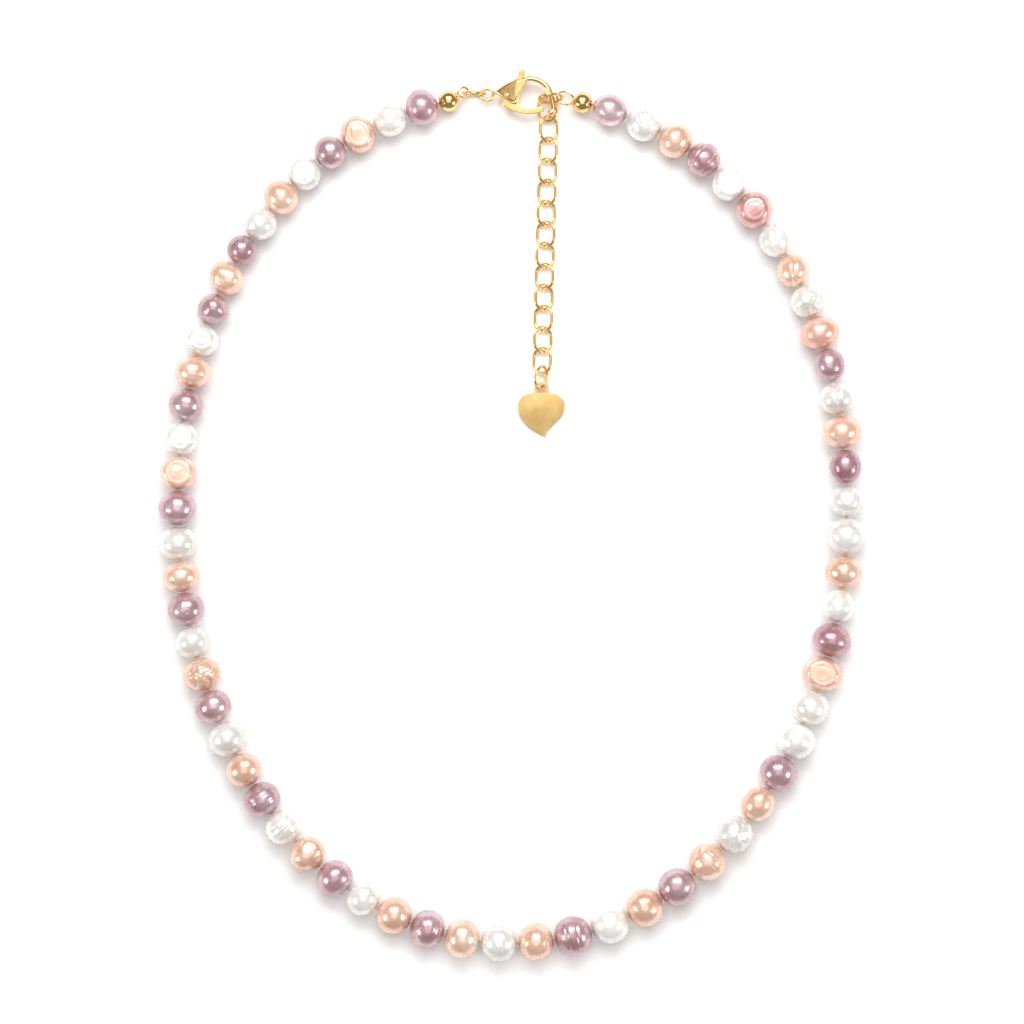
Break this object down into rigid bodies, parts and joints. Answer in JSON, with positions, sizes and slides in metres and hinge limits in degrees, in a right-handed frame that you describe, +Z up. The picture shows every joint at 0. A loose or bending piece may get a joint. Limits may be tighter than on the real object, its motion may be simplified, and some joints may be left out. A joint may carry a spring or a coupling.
{
  "type": "pearl necklace",
  "caption": "Strand of freshwater pearls in white, peach and mauve on silk, with gold bead tips, a lobster clasp, an extender chain and a heart tag.",
  "frame": {"origin": "on the table under the middle of the necklace as laid out", "axes": "+Z up from the table, +Y from the front pearls to the clasp, +X from the clasp's eye to its hook"},
  "size_m": [0.1276, 0.1608, 0.0073],
  "materials": {
    "pearl_white": "white nacre, satin lustre",
    "pearl_peach": "peach nacre, satin lustre",
    "pearl_mauve": "mauve nacre, satin lustre",
    "silk_cord": "twisted silk",
    "gold_metal": "polished yellow gold plating"
  },
  "bodies": {
    "back": {"white_pearls_1": "pearl_white", "peach_pearls_1": "pearl_peach", "mauve_pearls_1": "pearl_mauve", "silk_1": "silk_cord", "left_bead_tip": "gold_metal", "right_bead_tip": "gold_metal"},
    "section_2": {"white_pearls_2": "pearl_white", "peach_pearls_2": "pearl_peach", "mauve_pearls_2": "pearl_mauve", "silk_2": "silk_cord"},
    "section_3": {"white_pearls_3": "pearl_white", "peach_pearls_3": "pearl_peach", "mauve_pearls_3": "pearl_mauve", "silk_3": "silk_cord"},
    "section_4": {"white_pearls_4": "pearl_white", "peach_pearls_4": "pearl_peach", "mauve_pearls_4": "pearl_mauve", "silk_4": "silk_cord"},
    "section_5": {"white_pearls_5": "pearl_white", "peach_pearls_5": "pearl_peach", "mauve_pearls_5": "pearl_mauve", "silk_5": "silk_cord"},
    "section_6": {"white_pearls_6": "pearl_white", "peach_pearls_6": "pearl_peach", "mauve_pearls_6": "pearl_mauve", "silk_6": "silk_cord"},
    "section_7": {"white_pearls_7": "pearl_white", "peach_pearls_7": "pearl_peach", "mauve_pearls_7": "pearl_mauve", "silk_7": "silk_cord"},
    "section_8": {"white_pearls_8": "pearl_white", "peach_pearls_8": "pearl_peach", "mauve_pearls_8": "pearl_mauve", "silk_8": "silk_cord"},
    "clasp": {"clasp_body": "gold_metal", "clasp_rivet": "gold_metal"},
    "lever": {"clasp_lever": "gold_metal"},
    "left_ring": {"left_jump_ring": "gold_metal"},
    "right_ring": {"right_jump_ring": "gold_metal"},
    "link_01": {"link_01": "gold_metal"},
    "link_02": {"link_02": "gold_metal"},
    "link_03": {"link_03": "gold_metal"},
    "link_04": {"link_04": "gold_metal"},
    "link_05": {"link_05": "gold_metal"},
    "link_06": {"link_06": "gold_metal"},
    "link_07": {"link_07": "gold_metal"},
    "link_08": {"link_08": "gold_metal"},
    "link_09": {"link_09": "gold_metal"},
    "link_10": {"link_10": "gold_metal"},
    "link_11": {"link_11": "gold_metal"},
    "link_12": {"link_12": "gold_metal"},
    "link_13": {"link_13": "gold_metal"},
    "tag_ring": {"tag_ring": "gold_metal"},
    "heart": {"heart_tag": "gold_metal"}
  },
  "joints": [
    {"name": "fold_1", "type": "hinge", "parent": "back", "child": "section_2", "pos_m": [-0.03511, 0.06395, 0.00365], "axis": [-0.9998, 0.0207, 0], "range_deg": [0, 16]},
    {"name": "fold_2", "type": "hinge", "parent": "section_2", "child": "section_3", "pos_m": [-0.05001, 0.04581, 0.00365], "axis": [-0.9992, 0.0401, 0], "range_deg": [0, 16]},
    {"name": "fold_3", "type": "hinge", "parent": "section_3", "child": "section_4", "pos_m": [-0.05818, 0.02332, 0.00365], "axis": [-0.9991, 0.0419, 0], "range_deg": [0, 16]},
    {"name": "fold_4", "type": "hinge", "parent": "section_4", "child": "section_5", "pos_m": [-0.06027, -0.00155, 0.00365], "axis": [-0.9991, 0.0431, 0], "range_deg": [0, 16]},
    {"name": "fold_5", "type": "hinge", "parent": "section_5", "child": "section_6", "pos_m": [-0.05674, -0.02535, 0.00365], "axis": [-0.9986, 0.052, 0], "range_deg": [0, 16]},
    {"name": "fold_6", "type": "hinge", "parent": "section_6", "child": "section_7", "pos_m": [-0.04672, -0.04817, 0.00365], "axis": [-0.9976, 0.0695, 0], "range_deg": [0, 16]},
    {"name": "fold_7", "type": "hinge", "parent": "section_7", "child": "section_8", "pos_m": [-0.02935, -0.06692, 0.00365], "axis": [-0.9951, 0.0988, 0], "range_deg": [0, 16]},
    {"name": "clasp_lever_open", "type": "hinge", "parent": "clasp", "child": "lever", "pos_m": [-0.0009, 0.076, 0.00275], "axis": [0, 0, 1], "range_deg": [0, 8], "stiffness_Nm_per_rad": 0.01, "springref_deg": -20.05},
    {"name": "clasp_roll", "type": "hinge", "parent": "back", "child": "clasp", "pos_m": [-0.00446, 0.07615, 0.00275], "axis": [1, 0, 0], "range_deg": [-6, 6]},
    {"name": "left_ring_lean", "type": "hinge", "parent": "back", "child": "left_ring", "pos_m": [-0.00682, 0.07637, 0.0026], "axis": [1, 0, 0], "range_deg": [-15, 15]},
    {"name": "right_ring_lean", "type": "hinge", "parent": "back", "child": "right_ring", "pos_m": [0.00693, 0.07547, 0.0026], "axis": [1, 0, 0], "range_deg": [-6, 6]},
    {"name": "link_01_swing", "type": "hinge", "parent": "back", "child": "link_01", "pos_m": [0.00634, 0.07422, 0.00118], "axis": [0, 0, 1], "range_deg": [-12, 12]},
    {"name": "link_02_swing", "type": "hinge", "parent": "link_01", "child": "link_02", "pos_m": [0.00662, 0.07057, 0.00107], "axis": [0, 0, -1], "range_deg": [-22, 22]},
    {"name": "link_03_swing", "type": "hinge", "parent": "link_02", "child": "link_03", "pos_m": [0.00651, 0.06678, 0.00107], "axis": [0, 0, 1], "range_deg": [-22, 22]},
    {"name": "link_04_swing", "type": "hinge", "parent": "link_03", "child": "link_04", "pos_m": [0.00641, 0.06298, 0.00107], "axis": [0, 0, -1], "range_deg": [-22, 22]},
    {"name": "link_05_swing", "type": "hinge", "parent": "link_04", "child": "link_05", "pos_m": [0.0063, 0.05917, 0.00107], "axis": [0, 0, 1], "range_deg": [-22, 22]},
    {"name": "link_06_swing", "type": "hinge", "parent": "link_05", "child": "link_06", "pos_m": [0.00619, 0.05538, 0.00107], "axis": [0, 0, -1], "range_deg": [-22, 22]},
    {"name": "link_07_swing", "type": "hinge", "parent": "link_06", "child": "link_07", "pos_m": [0.00609, 0.05158, 0.00107], "axis": [0, 0, 1], "range_deg": [-22, 22]},
    {"name": "link_08_swing", "type": "hinge", "parent": "link_07", "child": "link_08", "pos_m": [0.00598, 0.04777, 0.00107], "axis": [0, 0, -1], "range_deg": [-22, 22]},
    {"name": "link_09_swing", "type": "hinge", "parent": "link_08", "child": "link_09", "pos_m": [0.00587, 0.04398, 0.00107], "axis": [0, 0, 1], "range_deg": [-22, 22]},
    {"name": "link_10_swing", "type": "hinge", "parent": "link_09", "child": "link_10", "pos_m": [0.00576, 0.04018, 0.00107], "axis": [0, 0, -1], "range_deg": [-22, 22]},
    {"name": "link_11_swing", "type": "hinge", "parent": "link_10", "child": "link_11", "pos_m": [0.00566, 0.03637, 0.00107], "axis": [0, 0, 1], "range_deg": [-22, 22]},
    {"name": "link_12_swing", "type": "hinge", "parent": "link_11", "child": "link_12", "pos_m": [0.00555, 0.03257, 0.00107], "axis": [0, 0, -1], "range_deg": [-22, 22]},
    {"name": "link_13_swing", "type": "hinge", "parent": "link_12", "child": "link_13", "pos_m": [0.00544, 0.02877, 0.00107], "axis": [0, 0, 1], "range_deg": [-22, 22]},
    {"name": "tag_ring_swing", "type": "hinge", "parent": "link_13", "child": "tag_ring", "pos_m": [0.00524, 0.02564, 0.0021], "axis": [0, 0, -1], "range_deg": [-12, 4]},
    {"name": "heart_swing", "type": "hinge", "parent": "tag_ring", "child": "heart", "pos_m": [0.00536, 0.02322, 0.0013], "axis": [0, 0, 1], "range_deg": [-20, 20]}
  ]
}
